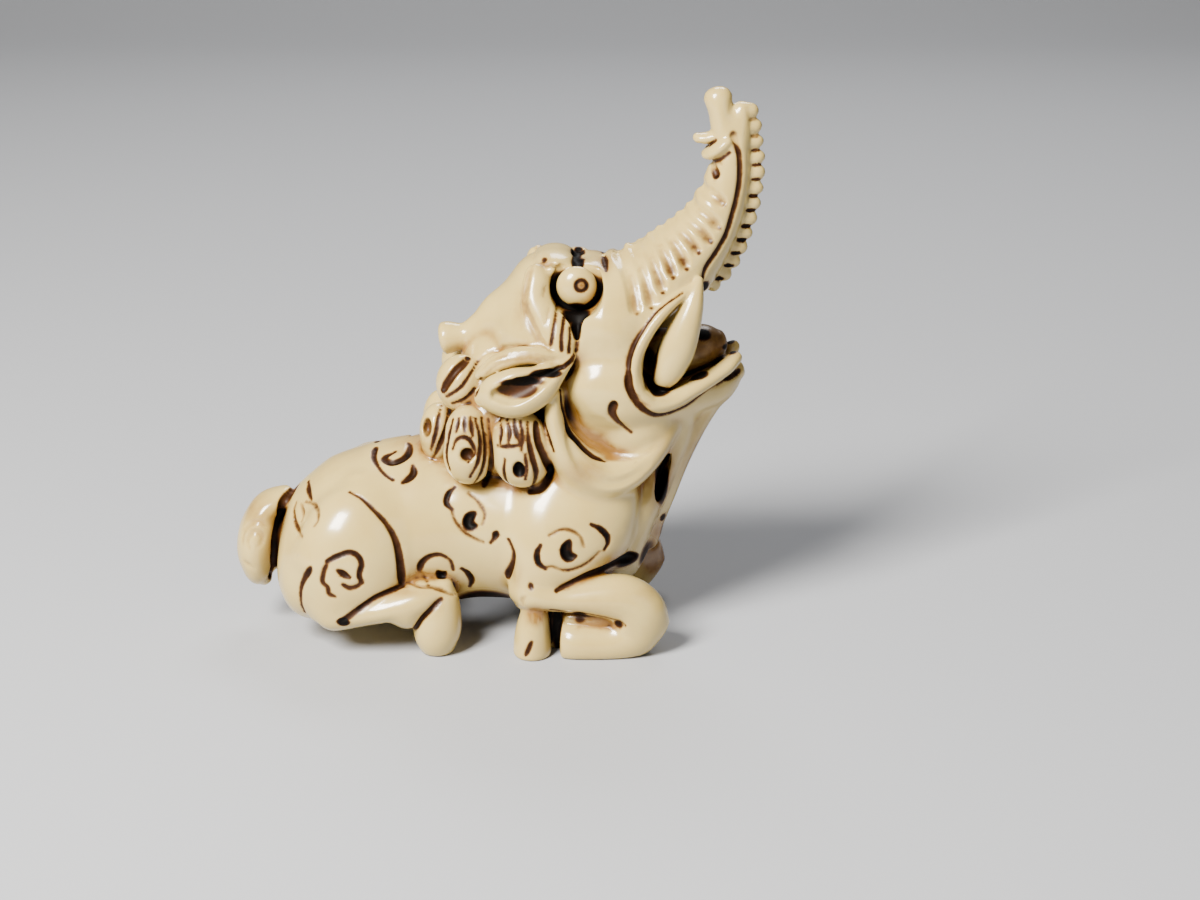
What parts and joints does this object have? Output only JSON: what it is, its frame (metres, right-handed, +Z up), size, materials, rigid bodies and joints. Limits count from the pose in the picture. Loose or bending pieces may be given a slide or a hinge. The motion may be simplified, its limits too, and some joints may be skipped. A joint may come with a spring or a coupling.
{
  "type": "netsuke",
  "caption": "Carved ivory-like netsuke of a crouching baku with folded legs, a ribbed trunk raised high, a curled mane, tusks and cloud scrolls on its flanks.",
  "frame": {"origin": "middle of the beast's length and width, on the surface that its hooves and folded shins rest on", "axes": "+X the way the beast faces, +Y its left side, +Z up"},
  "size_m": [0.0442, 0.0194, 0.0466],
  "materials": {
    "baku": "polished ivory-like material, stained dark brown in the recesses"
  },
  "bodies": {
    "root": {"baku": "baku"}
  },
  "joints": []
}
